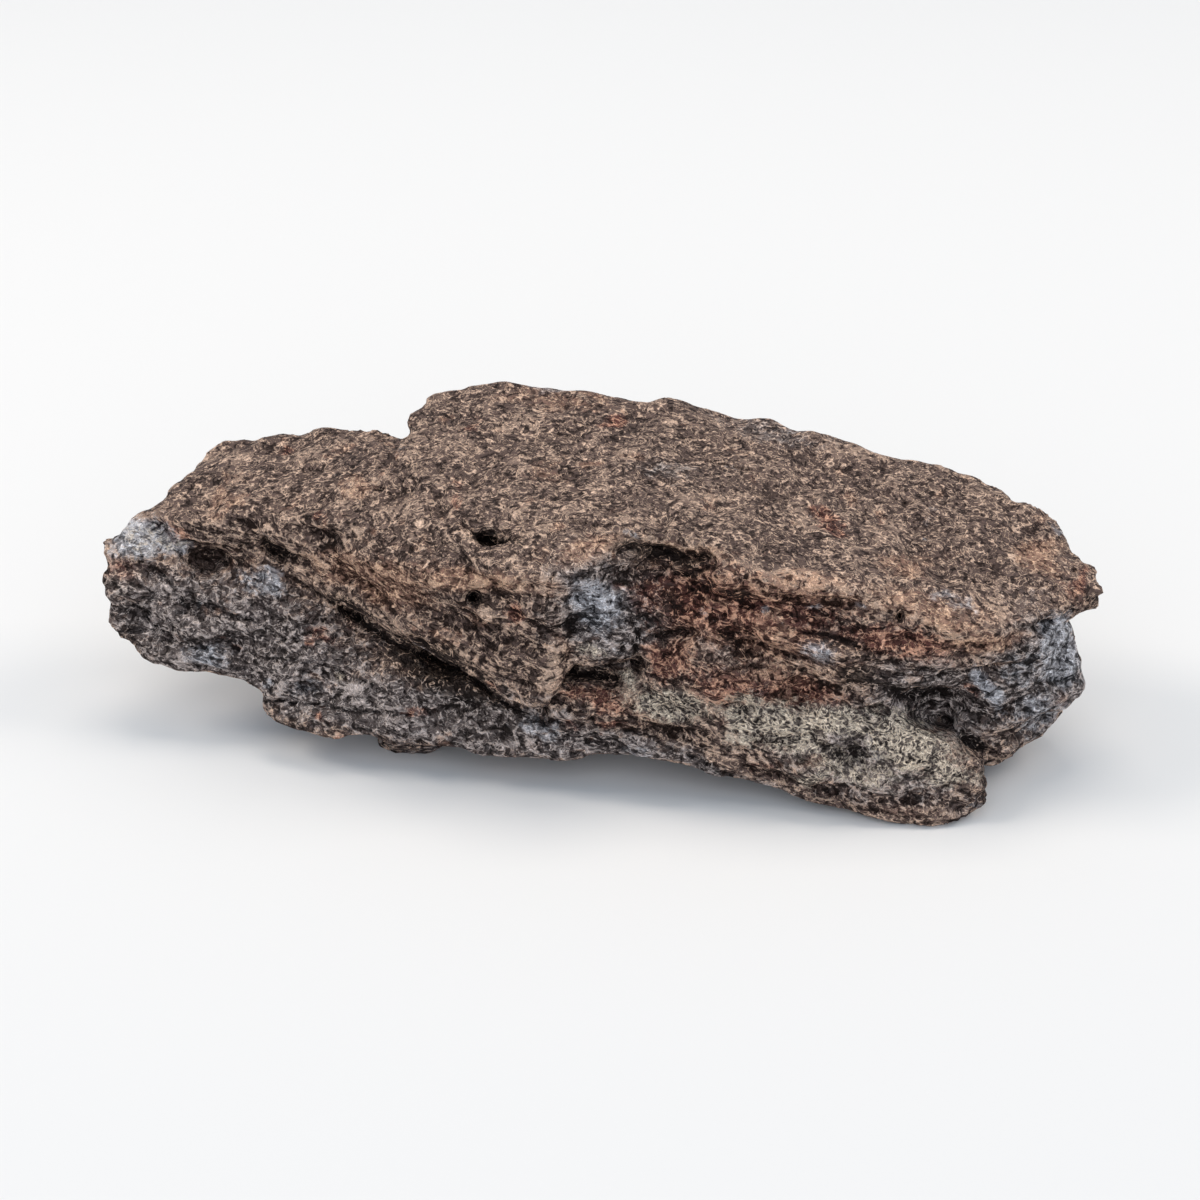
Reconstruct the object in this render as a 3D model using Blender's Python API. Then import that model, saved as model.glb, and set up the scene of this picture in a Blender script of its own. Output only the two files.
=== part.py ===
"""A hand-sized fragment of a weathered chondrite meteorite, broken along its layers.

The stone is one solid. It is built the way it broke: blocks and plates of rock laid over each
other, hollows taken out of them, then the weathered relief of the surface, and last the open
cracks and the small round holes. Lengths in this file are millimetres until they reach a mesh.
X runs along the stone, Y away from the viewer, Z up, and the table is at height 0.
"""
import math

import bmesh
import bpy
from mathutils import Matrix, Vector, noise
from mathutils.bvhtree import BVHTree

METRES = 0.001

# The side that faces the viewer is drawn as it is seen from the front: across and up on a plane
# through MIDDLE that faces the eye.
SIGHT_ELEVATION = math.radians(28.0)
SIGHT_DISTANCE = 150.0
MIDDLE = Vector((0.0, 0.0, 6.3))

TO_EYE = Vector((0.0, -math.cos(SIGHT_ELEVATION), math.sin(SIGHT_ELEVATION)))
UP_THE_DRAWING = Vector((0.0, math.sin(SIGHT_ELEVATION), math.cos(SIGHT_ELEVATION)))

# The layers of the rock dip to the right and towards the viewer. Each stands proud of the next or
# behind it, over patches of this size, and the step between two layers takes part of their
# thickness.
ACROSS_LAYERS = Vector((0.17, -0.12, 1.0)).normalized()
LAYER_THICKNESS = 1.0
LAYER_PATCH = 6.2
LAYER_WANDER = 0.7
STEP_START = 0.35
STEP_SHARE = 0.3

# The weathered relief: the height of its ledges, and the height and size of its lumps and chips.
# The broken faces swell a little to make up for what smoothing takes off, and nothing stands
# prouder than PROUDEST.
LEDGE_HEIGHT = 3.0
LUMP_HEIGHT = 0.4
LUMP_SIZE = 3.3
CHIP_HEIGHT = 0.4
CHIP_SIZE = 1.35
SWELL = 0.08
PROUDEST = 0.13

# The size of the even faces that carry the relief, and about how many triangles are kept.
SKIN_SIZE = 0.3
TRIANGLES = 9300

# The stone's finish: dark, weathered, almost without shine.
COLOUR = (0.085, 0.062, 0.052, 1.0)
ROUGHNESS = 0.85


def sight_line(across, up):
    """The eye, and a step along the line from it through this place of the drawing."""
    eye = MIDDLE + SIGHT_DISTANCE * TO_EYE
    on_drawing = MIDDLE + Vector((across, 0.0, 0.0)) + up * UP_THE_DRAWING
    return eye, on_drawing - eye


def at_height(across, up, height):
    """The point of this height above the table that is seen at this place of the drawing."""
    eye, step = sight_line(across, up)
    return eye + step * ((height - eye.z) / step.z)


def at_depth(across, up, depth):
    """The point of this depth, its y, that is seen at this place of the drawing."""
    eye, step = sight_line(across, up)
    return eye + step * ((depth - eye.y) / step.y)


def corners(tops=(), walls=(), hidden=()):
    """A block's corners: on its tops by height, on its walls by depth, and unseen ones as they are."""
    return (
        [at_height(*place) for place in tops]
        + [at_depth(*place) for place in walls]
        + [Vector(place) for place in hidden]
    )


def drawn_place(point):
    """Where a point of the stone is on the drawing, across and up."""
    from_middle = point - MIDDLE
    spread = 1.0 - from_middle.dot(TO_EYE) / SIGHT_DISTANCE
    return from_middle.x / spread, from_middle.dot(UP_THE_DRAWING) / spread


BLOCKS = {
    # the mass that everything else lies on
    "heart": corners(
        hidden=[
            (-12, -4, 2.0), (-9, -5, 1.5), (16, -6, 1.1), (19, -5, 1.6), (20, 0, 2.0), (15, 5, 1.6),
            (0, 7, 1.7), (-10, 5, 2.1), (-14, 3, 3), (-13, 6, 9), (-8, 7, 11.5), (8, 6.5, 11),
            (19, 2.5, 8), (20, -5, 7), (4, -4, 9.5), (-12, -1.5, 7.5), (-4, -4, 9),
        ]
    ),
    # the thick plate on top, from the step on the left to the crest over the front
    "plateau": corners(
        tops=[
            (-10.5, 7.6, 13.0), (-9.9, 9.0, 13.2), (-8.6, 10.4, 13.6), (-7.1, 10.8, 13.75),
            (-5.6, 11.1, 13.9), (-4.0, 10.85, 13.85), (0.0, 10.3, 13.6), (3.1, 10.0, 13.3),
            (4.9, 9.9, 13.1), (7.0, 9.4, 12.8), (8.2, 8.9, 12.6), (10.0, 8.6, 12.4),
            (12.0, 8.1, 12.1), (16.2, 6.6, 11.3), (18.0, 6.45, 11.0), (-8.0, 6.0, 12.7),
            (-7.4, 4.6, 12.4), (-6.6, 3.6, 12.1), (-4.9, 3.0, 12.0), (-3.4, 1.5, 11.3),
            (-1.3, 1.6, 11.6),
            (0.9, 2.6, 12.1), (2.5, 3.0, 12.25), (5.3, 2.4, 12.0), (8.0, 1.6, 11.5),
            (10.0, 1.3, 11.2), (12.7, 0.5, 10.7), (14.8, -0.4, 10.1),
        ],
        hidden=[
            (-9, 3, 9), (-8, 8, 9), (-2, 9.5, 9), (6, 8.0, 8.5), (14, 6.0, 7.5), (18, 4.0, 7),
            (16, -6, 7), (4, -5, 9), (-6, -2, 9.5),
        ],
    ),
    # the right end of that plate, which thins to an overhanging tip
    "right_tip": corners(
        tops=[
            (14.0, 7.2, 11.7), (18.0, 6.45, 11.0), (19.0, 6.25, 10.8), (20.1, 5.75, 10.6),
            (20.8, 5.1, 10.4), (22.1, 4.6, 10.1), (23.1, 3.9, 9.8), (24.2, 2.5, 9.2),
            (25.1, 0.9, 8.6), (25.35, 0.3, 8.4), (25.3, -0.1, 8.1), (24.6, -0.45, 7.8),
            (23.6, -0.9, 7.7), (22.3, -1.4, 8.0), (20.3, -2.2, 8.3), (18.0, -2.1, 8.9),
            (16.4, -1.2, 9.5), (14.6, -0.2, 10.1),
        ],
        hidden=[
            (14, 0, 7), (16, 4, 7.5), (21, 1.8, 7.3), (19, -2, 6.8), (24.6, -2.2, 8.2),
            (24.6, -2.2, 7.6), (23.8, -4.3, 8.1), (24.9, -3.2, 7.7),
        ],
    ),
    # the lower plate on the left, which runs on under the thick plate
    "left_slab": corners(
        tops=[
            (-24.5, 3.8, 9.4), (-24.0, 4.2, 9.6), (-22.1, 4.9, 9.9), (-21.1, 5.8, 10.1),
            (-20.1, 7.3, 10.5), (-19.1, 8.0, 10.8), (-17.0, 8.3, 11.2), (-15.0, 8.6, 11.6),
            (-13.5, 8.75, 11.9), (-11.0, 8.75, 12.4), (-9.4, 8.5, 12.7), (-22.0, 3.5, 9.3),
            (-20.0, 3.35, 9.25), (-16.9, 3.3, 9.3), (-14.3, 2.6, 9.7), (-8.5, 4.3, 12.1),
        ],
        hidden=[(-8, 6, 8), (-18, 5, 6.5), (-8, 0, 8), (-18, 2, 7)],
    ),
    # the left tip, the upper of its two layers
    "tip_upper": corners(
        tops=[
            (-24.5, 3.8, 9.4), (-23.6, 4.2, 9.6), (-19.5, 3.4, 9.25), (-17.2, 3.2, 9.0),
        ],
        walls=[
            (-25.1, 3.0, 1.7), (-25.2, 2.2, 1.0), (-25.1, 1.2, 0.3), (-22.6, 0.7, -0.2),
            (-20.6, -0.2, -0.9), (-18.0, -1.6, -2.0), (-15.8, -3.0, -3.0), (-18.5, 2.4, 0.8),
            (-15.6, 0.4, -0.6), (-12.5, -1.6, -2.6),
        ],
        hidden=[(-17, 5, 7), (-12, 3, 8.5), (-12, 0, 5), (-21, 3.5, 7)],
    ),
    # the lower layer of the left tip
    "tip_lower": corners(
        walls=[
            (-25.1, 1.1, 0.4), (-25.1, 0.3, 0.0), (-24.8, -0.7, -0.5), (-24.8, -1.4, -0.8),
            (-24.4, -2.2, -1.2), (-23.2, -2.7, -1.4), (-22.3, -2.9, -1.6), (-21.7, -3.35, -1.9),
            (-20.4, -3.8, -2.2), (-19.0, -4.2, -2.8), (-18.2, -4.5, -3.3), (-17.2, -4.6, -3.4),
            (-14.0, -4.2, -3.7), (-20.0, -0.9, -1.2), (-16.5, -2.6, -2.7),
        ],
        hidden=[(-17, 4, 4.5), (-10, 4, 3), (-12, 0, 2), (-13, -0.5, 5.5), (-20, 3, 6.5)],
    ),
    # the tongue: the end of the lower plate, which overhangs the left body
    "tongue": corners(
        tops=[
            (-16.9, 3.25, 9.1), (-14.3, 2.3, 9.6), (-12.0, 1.75, 10.0), (-7.5, 1.05, 10.6),
            (-3.5, 0.65, 10.95), (-1.5, 0.8, 11.0), (-9.0, 4.2, 12.05), (-6.0, 3.2, 12.0),
            (-2.0, 2.2, 11.9), (-1.1, 1.6, 11.6),
        ],
        walls=[
            (-15.9, 1.85, 0.2), (-14.8, 1.05, -0.5), (-12.5, -0.55, -2.4), (-10.1, -2.1, -4.0),
            (-8.5, -2.65, -5.2), (-7.3, -3.35, -6.0), (-5.6, -4.4, -7.0), (-4.7, -5.05, -7.6),
            (-3.7, -5.55, -8.1), (-2.6, -6.1, -8.6), (-1.8, -0.5, -7.3), (-2.2, -1.7, -7.4),
            (-2.2, -3.2, -7.6), (-2.2, -5.0, -8.1),
        ],
        hidden=[(-14, 4, 9.0), (-4, 2, 10.5), (-3.5, -3, 5.5), (-11, 2, 8)],
    ),
    # the body under the tongue
    "left_body": corners(
        walls=[
            (-17.2, -4.65, -3.6), (-17.3, -5.2, -4.0), (-17.0, -5.9, -4.6), (-16.6, -6.3, -5.0),
            (-15.2, -6.75, -5.8), (-12.5, -7.05, -6.3), (-10.0, -7.35, -6.6), (-7.4, -7.45, -6.9),
            (-4.4, -7.9, -7.6), (-2.7, -7.9, -7.8), (0.5, -7.6, -7.9), (3.0, -7.9, -8.1),
            (-16.0, -2.4, -2.6), (-12.0, -2.9, -3.2), (-9.0, -3.9, -4.4), (-6.0, -5.4, -6.2),
            (-3.0, -6.3, -7.4), (0.5, -6.3, -7.9), (3.0, -6.5, -8.1),
        ],
        hidden=[(-14, 2, 3), (4, 0, 1.8), (4, 0, 6), (-12, 1.0, 6.0), (-8, -1, 1.3), (3, -3, 1.5)],
    ),
    # the rusty slope between the tongue and the front wall
    "rust_slope": corners(
        walls=[
            (-2.4, -4.4, -6.7), (-0.6, -4.0, -6.5), (1.2, -4.1, -6.8), (2.4, -4.4, -7.2),
            (-2.8, -6.1, -8.4), (-1.0, -6.15, -8.4), (1.0, -6.4, -8.4), (2.6, -6.5, -8.5),
            (3.6, -6.9, -8.8),
        ],
        hidden=[(-3, -3, 3), (3, -3, 3), (-3, -4, 5), (3, -3, 6)],
    ),
    # the grey mass at the back of the recess beside the tongue
    "grey_core": corners(
        walls=[
            (-1.6, 1.6, -6.1), (0.6, 1.9, -5.3), (2.6, 1.9, -5.1), (4.2, 1.2, -5.9),
            (2.0, -0.8, -6.3), (1.8, -2.6, -6.7), (0.9, -3.2, -6.9), (-0.6, -3.1, -7.1),
            (-2.0, -3.3, -7.4), (-2.2, -0.8, -7.0),
        ],
        hidden=[(-3, 0, 9), (3, 0, 10), (-3, -1, 5), (3, -2, 5)],
    ),
    # the wall under the crest, at the right of the front
    "front_wall": corners(
        tops=[
            (5.2, 2.2, 11.9), (8.0, 1.4, 11.3), (10.0, 1.1, 11.0), (12.7, 0.3, 10.5),
            (14.8, -0.7, 9.8), (16.4, -1.4, 9.2), (18.0, -2.2, 8.7), (20.3, -2.4, 8.1),
        ],
        walls=[
            (3.3, 1.0, -5.9), (2.2, -1.0, -6.5), (2.0, -3.2, -6.7), (2.2, -4.4, -7.3),
            (2.6, -5.6, -8.1), (5.0, -5.2, -8.1), (8.5, -4.9, -8.2), (12.0, -4.6, -8.3),
            (14.8, -4.8, -8.1), (7.0, -1.8, -7.0), (11.0, -2.4, -7.5), (14.6, -3.0, -7.6),
        ],
        hidden=[(3, 0, 10), (20, 0, 7), (4, -3, 2), (18, -4, 2), (12, -7, 2)],
    ),
    # the bulging right end, under the overhanging tip
    "right_end": corners(
        walls=[
            (23.7, -1.4, -3.6), (24.0, -2.6, -3.9), (24.2, -3.6, -4.3), (24.2, -4.3, -4.6),
            (24.2, -4.9, -5.0), (23.6, -6.0, -5.6), (23.0, -6.7, -6.0), (21.5, -7.5, -6.5),
            (20.5, -7.75, -6.8), (19.6, -8.5, -7.8), (19.0, -7.4, -8.0), (18.4, -6.4, -7.9),
            (20.2, -2.5, -7.6), (21.4, -2.0, -6.5), (22.6, -1.5, -5.2), (18.6, -4.4, -7.4),
            (20.4, -5.6, -7.4),
        ],
        hidden=[(22, 0, 7), (22.5, -1, 2), (16, 0, 6), (16, 0, 1.7), (17, -6, 1.0)],
    ),
    # the ledge at the front, and the foot that the stone stands on
    "ledge": corners(
        walls=[
            (1.4, -6.8, -8.2), (1.6, -7.5, -8.3), (3.0, -6.2, -8.3), (5.0, -5.9, -8.4),
            (9.0, -5.7, -8.6), (12.0, -5.6, -8.8), (15.0, -6.2, -9.0), (17.6, -7.2, -9.3),
            (19.3, -8.4, -9.4), (19.4, -9.4, -9.9), (19.0, -10.4, -10.4), (17.6, -11.2, -10.9),
            (15.9, -11.6, -11.2), (13.8, -11.15, -11.0), (11.1, -10.35, -10.6),
            (8.5, -9.55, -10.1), (5.8, -8.6, -9.5), (3.2, -7.8, -8.9), (9.4, -9.25, -10.3),
            (12.0, -9.7, -10.9), (14.2, -10.0, -11.3), (18.2, -10.1, -10.9),
        ],
        hidden=[(6, -4, 3), (16, -5, 3), (17, -5, 0.9), (6, -4, 1.6), (15, -10.6, 0.1), (17, -8, 0.2)],
    ),
    # a shelf low on the far side
    "back_shelf": corners(
        hidden=[
            (-5, 8.6, 4.6), (1, 9.3, 4.2), (7, 8.9, 3.6), (12, 6.8, 3.2), (-7, 6.5, 5),
            (13, 4, 3), (-6, 7.2, 2.2), (6, 7.6, 1.4), (0, 5, 1.2), (10, 5, 1.1), (-6, 4, 1.3),
        ]
    ),
    # a broken edge at the back of the left slab
    "back_left": corners(
        hidden=[
            (-19.5, 7.2, 7.4), (-14, 9.2, 7.0), (-9, 9.0, 6.4), (-9, 4, 5), (-18, 3, 5.6),
            (-14, 7.6, 9.6), (-19, 6, 9.2), (-10, 6, 3.2), (-15, 5, 4.0),
        ]
    ),
    # the four low points that the stone stands on
    "left_foot": corners(
        hidden=[
            (-11.3, -3.4, -0.5), (-10.0, -4.6, -0.5), (-8.4, -4.4, -0.5), (-8.6, -2.8, -0.5),
            (-12.6, -3.0, 2.6), (-10.4, -5.6, 2.4), (-6.6, -4.8, 2.2), (-7.6, -1.4, 2.4),
        ]
    ),
    "far_left_foot": corners(
        hidden=[
            (-8.4, 3.4, -0.5), (-7.8, 5.0, -0.5), (-5.9, 4.8, -0.5), (-6.2, 3.2, -0.5),
            (-10.0, 2.6, 2.8), (-8.6, 6.2, 2.8), (-4.6, 5.6, 2.4), (-4.8, 2.2, 2.2),
        ]
    ),
    "far_right_foot": corners(
        hidden=[
            (11.6, 3.2, -0.5), (12.2, 4.9, -0.5), (14.3, 4.2, -0.5), (13.8, 2.6, -0.5),
            (10.0, 2.2, 2.2), (11.4, 6.0, 2.4), (16.2, 4.6, 2.4), (15.0, 1.4, 2.2),
        ]
    ),
    "front_foot": corners(
        hidden=[
            (13.6, -9.6, -0.5), (14.6, -10.6, -0.5), (17.2, -10.2, -0.5), (16.6, -8.6, -0.5),
            (12.2, -8.4, 1.6), (14.0, -10.8, 0.9), (18.0, -9.8, 1.2), (17.4, -7.4, 1.6),
        ]
    ),
}

# The plates that the rock broke into, each weathered by itself, so that its edges stay sharp where
# it meets the next: its blocks, and how strongly its surface has weathered.
PLATES = {
    "mass": (["heart", "back_shelf", "back_left", "left_foot", "far_left_foot",
              "far_right_foot", "front_foot"], 1.0),
    "left_mass": (["left_body", "tip_lower", "rust_slope", "ledge"], 0.9),
    "upper_plate": (["plateau", "right_tip", "left_slab", "tip_upper", "tongue", "grey_core",
                     "front_wall"], 0.75),
    "right_mass": (["right_end"], 0.8),
}

HOLLOWS = {
    # the cave where the thick plate steps down to the tongue
    "step_cave": corners(
        tops=[
            (-6.8, 3.6, 12.4), (-5.2, 3.45, 12.35), (-3.9, 3.35, 12.3), (-4.0, 2.8, 12.1),
            (-5.0, 2.6, 12.1), (-6.2, 2.9, 12.2),
        ],
        hidden=[(-6.0, -2.9, 10.5), (-4.3, -3.0, 10.4), (-5.2, -2.6, 11.2), (-5.0, -4.6, 12.9)],
    ),
    # the bay in the crest, which runs in under it and fades out down the wall
    "crest_bay": corners(
        hidden=[
            (-1.5, -6.9, 13.0), (0.6, -6.3, 13.0), (2.4, -5.9, 13.0), (4.1, -6.1, 13.0),
            (5.4, -6.4, 13.0), (0.8, -4.8, 11.5), (2.4, -3.9, 11.4), (4.1, -4.4, 11.4),
            (0.6, -5.9, 9.9), (2.4, -6.0, 9.3), (4.4, -6.2, 9.8), (-1.5, -9.5, 13.0),
            (5.4, -9.5, 13.0), (0.8, -8.3, 5.2), (4.2, -8.6, 5.2),
        ]
    ),
    # the hollow under the tongue
    "tongue_hollow": corners(
        walls=[
            (-10.8, -2.1, -4.4), (-8.5, -2.7, -5.4), (-5.8, -4.5, -7.2), (-5.0, -5.0, -7.7),
            (-6.8, -5.3, -7.7), (-8.6, -4.9, -7.2), (-10.4, -3.9, -6.2),
        ],
        hidden=[(-10.2, -0.6, 6.4), (-7.6, -1.2, 6.0), (-5.6, -3.4, 5.0), (-8.0, -1.8, 3.9)],
    ),
    # the undercut that follows the tongue's rim further to the left
    "rim_undercut": corners(
        walls=[
            (-15.8, 1.6, -0.2), (-12.5, -0.75, -2.4), (-10.2, -2.25, -4.0), (-10.8, -3.0, -5.0),
            (-13.0, -1.7, -3.6), (-15.8, 0.9, -1.4),
        ],
        hidden=[(-14.5, 0.6, 7.4), (-11.0, -1.0, 6.4)],
    ),
    # the small dark hollow over the rusty slope
    "slope_hollow": corners(
        walls=[
            (-1.8, -3.3, -7.6), (-0.6, -3.2, -7.5), (0.7, -3.5, -7.5), (1.05, -4.0, -7.7),
            (0.3, -4.2, -7.8), (-0.8, -4.0, -7.7), (-1.8, -3.7, -7.7),
        ],
        hidden=[(-1.4, -5.7, 5.8), (0.7, -5.7, 5.5), (-0.9, -5.6, 4.6), (0.5, -5.6, 4.5)],
    ),
    # the recess between the wall and the ledge
    "ledge_recess": corners(
        walls=[
            (14.2, -4.8, -8.4), (14.8, -4.1, -8.0), (16.2, -4.1, -7.9), (18.2, -4.4, -7.6),
            (18.4, -5.2, -8.0), (16.4, -5.7, -8.8), (14.9, -5.5, -9.0),
        ],
        hidden=[(15.0, -6.4, 4.4), (17.8, -6.2, 3.8), (16.0, -6.0, 4.8)],
    ),
    # the dark corner where the ledge meets the right end
    "ledge_corner": corners(
        walls=[
            (17.9, -6.5, -8.6), (19.0, -6.6, -8.0), (19.8, -7.7, -8.2), (19.3, -8.0, -9.3),
            (18.0, -7.5, -9.4),
        ],
        hidden=[(18.2, -6.4, 2.4), (19.4, -6.4, 2.0)],
    ),
    # the corner that is missing from the lower plate, at the far left
    "slab_bite": corners(
        hidden=[
            (-25.1, 2.9, 12), (-22.4, 4.0, 12), (-21.4, 5.5, 12), (-20.5, 7.9, 12), (-23, 10, 12),
            (-27, 6, 12), (-25.1, 2.9, 7), (-22.4, 4.0, 7), (-21.4, 5.5, 7), (-20.5, 7.9, 7),
            (-23, 10, 7), (-27, 6, 7),
        ]
    ),
    # bites out of the back rim
    "rim_bite_a": corners(
        tops=[(1.4, 10.2, 13.5), (3.0, 10.0, 13.3), (2.4, 9.6, 13.2)],
        hidden=[(1.5, 11.5, 15), (3.0, 11.5, 15), (2.2, 11.5, 11), (2.2, 9.0, 12.4)],
    ),
    "rim_bite_b": corners(
        tops=[(12.9, 7.9, 12.0), (15.4, 6.9, 11.4), (14.0, 6.95, 11.5)],
        hidden=[(13.0, 8.5, 13.5), (16.0, 7.5, 13.0), (14.5, 8.2, 9.5)],
    ),
    # a broken-out corner at the back, under the thick plate
    "back_hollow": corners(
        hidden=[
            (-3, 7.2, 8.6), (6, 7.4, 8.2), (5, 10.5, 8.8), (-3, 10.5, 9.2), (-2, 8.0, 5.4),
            (5, 7.8, 5.0), (4, 10.5, 5.0), (-2, 10.5, 5.4),
        ]
    ),
}

# Dents and swellings of the faces that the viewer sees, pressed in along the line of sight:
# across and up, half their width and height, the turn of their long axis in degrees, their depth.
DENTS = {
    "tip_hollow": (-19.6, 1.9, 1.3, 0.9, -20, 1.1),
    "tip_fold": (-22.4, -1.4, 1.8, 0.5, -28, 1.0),
    "tip_groove": (-20.6, -0.3, 1.8, 0.4, -35, 0.8),
    "tip_pit": (-24.0, -1.9, 0.6, 0.5, -25, 0.6),
    "slab_hollow": (-18.2, -2.6, 1.0, 0.6, -20, 0.7),
    "tongue_dimple": (-4.6, -1.0, 1.2, 0.9, -20, 0.4),
    "tongue_band": (-9.5, 0.4, 3.2, 0.5, -14, 0.35),
    "rust_dish": (3.2, -2.9, 1.3, 1.3, -20, 0.8),
    "rust_overhang": (3.8, -1.6, 1.1, 0.35, -10, 0.9),
    "wall_groove_a": (9.0, -0.4, 3.6, 0.38, -8, 0.9),
    "wall_groove_b": (12.4, -1.6, 2.6, 0.42, -10, 0.9),
    "wall_groove_c": (6.3, 0.6, 2.2, 0.35, -10, 0.7),
    "wall_groove_d": (8.2, -2.9, 2.4, 0.4, -12, 0.8),
    "wall_hollow": (10.2, -4.4, 0.9, 1.0, 0, 0.7),
    "wall_notch": (15.1, -1.0, 0.7, 0.4, -60, 0.8),
    "end_hollow": (17.4, -6.3, 1.6, 0.9, -20, 0.4),
    "end_groove": (20.9, -5.0, 1.4, 0.4, 25, 0.4),
    "plateau_dip": (12.0, 4.6, 4.5, 1.5, -12, 0.3),
    "tongue_top_dip": (-9.5, 4.2, 2.6, 0.8, -20, 0.25),
    "ledge_swell": (11.0, -7.6, 1.6, 0.9, -15, -0.45),
    "ledge_dip": (14.5, -7.6, 1.6, 0.7, -20, 0.35),
    "tip_swell": (-22.8, 2.4, 1.4, 0.8, -10, -0.35),
    "wall_swell": (11.4, -3.2, 1.8, 0.9, -10, -0.5),
    "end_swell": (20.6, -3.9, 1.2, 1.6, -20, -0.35),
}

# Open cracks, from one end to the other on the drawing, with the width of the mouth in its middle
# and the depth.
CRACKS = {
    "tongue_slit": ([(-17.0, 3.3), (-16.6, 2.7), (-16.3, 2.2), (-15.8, 1.8)], 0.6, 1.3),
    "wall_crack": ([(1.7, -0.8), (1.85, -1.6), (1.75, -2.2), (1.95, -3.1)], 0.6, 1.0),
}

# Round holes: across, up, radius and depth.
HOLES = {
    "round_hole": (-6.4, 0.15, 0.34, 1.6),
    "slope_hole": (-0.35, -6.0, 0.28, 0.9),
    "wall_hole": (15.1, -0.7, 0.36, 1.0),
}
HOLE_SIDES = 12
OUTSIDE = 0.8


def clear_scene():
    for old in list(bpy.data.objects):
        bpy.data.objects.remove(old)


def add_object(name, shape):
    """Gives a finished bmesh an object of its own."""
    mesh = bpy.data.meshes.new(name)
    shape.to_mesh(mesh)
    shape.free()
    placed = bpy.data.objects.new(name, mesh)
    bpy.context.scene.collection.objects.link(placed)
    return placed


def hull_object(name, points):
    """The convex block that has these points for corners."""
    shape = bmesh.new()
    for point in points:
        shape.verts.new(point * METRES)
    result = bmesh.ops.convex_hull(shape, input=shape.verts)
    inner = {part for part in result["geom_interior"] if isinstance(part, bmesh.types.BMVert)}
    bmesh.ops.delete(shape, geom=list(inner), context="VERTS")
    bmesh.ops.recalc_face_normals(shape, faces=shape.faces)
    return add_object(name, shape)


def helper(placed):
    """Keeps a block or a cutter out of the finished model."""
    placed.hide_render = True
    placed.display_type = "WIRE"
    return placed


def combine(body, tool, operation, solver="EXACT"):
    modifier = body.modifiers.new(tool.name, "BOOLEAN")
    modifier.operation = operation
    modifier.solver = solver
    modifier.object = helper(tool)


def add_skin(body):
    """Gives the body one closed skin of small even faces."""
    modifier = body.modifiers.new("even_skin", "REMESH")
    modifier.mode = "VOXEL"
    modifier.voxel_size = SKIN_SIZE * METRES


def baked(body, name):
    """A plain object with the shape that this one's modifiers give it."""
    graph = bpy.context.evaluated_depsgraph_get()
    mesh = bpy.data.meshes.new_from_object(body.evaluated_get(graph))
    placed = bpy.data.objects.new(name, mesh)
    bpy.context.scene.collection.objects.link(placed)
    helper(body)
    return placed


def pressed(point):
    """How far the dents press this place in, along the line of sight."""
    across, up = drawn_place(point)
    depth = 0.0
    for centre_across, centre_up, half_width, half_height, turn, dent_depth in DENTS.values():
        turn = math.radians(turn)
        along = (across - centre_across) * math.cos(turn) + (up - centre_up) * math.sin(turn)
        over = (up - centre_up) * math.cos(turn) - (across - centre_across) * math.sin(turn)
        away = (along / half_width) ** 2 + (over / half_height) ** 2
        depth += dent_depth * math.exp(-away)
    return depth


def ledges(point):
    """How far each layer of the rock stands proud of the next at this place."""
    flat = point - point.dot(ACROSS_LAYERS) * ACROSS_LAYERS
    wander = LAYER_WANDER * noise.noise(point / (1.2 * LAYER_PATCH) + Vector((3.1, 0.0, 7.7)))
    height = (point.dot(ACROSS_LAYERS) + wander) / LAYER_THICKNESS
    layer = math.floor(height)
    rise = min(1.0, max(0.0, (height - layer - STEP_START) / STEP_SHARE))
    rise = rise * rise * (3.0 - 2.0 * rise)
    lower, upper = (
        noise.noise(flat / LAYER_PATCH + Vector((7.3, 3.7, 5.1)) * number)
        for number in (layer, layer + 1)
    )
    return lower + (upper - lower) * rise


def relief(point, outward, strength):
    """How far the weathered surface stands proud of the broken faces here, or behind them."""
    steepness = 1.0 - abs(outward.dot(ACROSS_LAYERS))
    height = LEDGE_HEIGHT * steepness * (ledges(point) - 0.1)
    height += LUMP_HEIGHT * noise.fractal(point / LUMP_SIZE, 1.0, 2.0, 3)
    height += CHIP_HEIGHT * noise.noise(point / CHIP_SIZE + Vector((9.0, 4.0, 1.0)))
    return SWELL + strength * min(height, PROUDEST)


def weather(body, strength):
    """Moves the skin by the dents and the relief."""
    mesh = body.data
    places = [vert.co / METRES for vert in mesh.vertices]
    normals = [vert.normal.copy() for vert in mesh.vertices]
    for vert, place, outward in zip(mesh.vertices, places, normals):
        moved = place + outward * relief(place, outward, strength)
        facing = max(0.0, min(1.0, outward.dot(TO_EYE) * 2.5))
        moved -= TO_EYE * pressed(place) * facing
        vert.co = moved * METRES


def smooth(body, rounds):
    shape = bmesh.new()
    shape.from_mesh(body.data)
    for _ in range(rounds):
        bmesh.ops.smooth_vert(
            shape, verts=shape.verts, factor=0.5, use_axis_x=True, use_axis_y=True, use_axis_z=True
        )
    shape.to_mesh(body.data)
    shape.free()


def on_surface(tree, across, up):
    """Where the sight line through this place of the drawing meets the stone."""
    eye, step = sight_line(across, up)
    found = tree.ray_cast(eye * METRES, step.normalized())
    return found[0] / METRES


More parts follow.
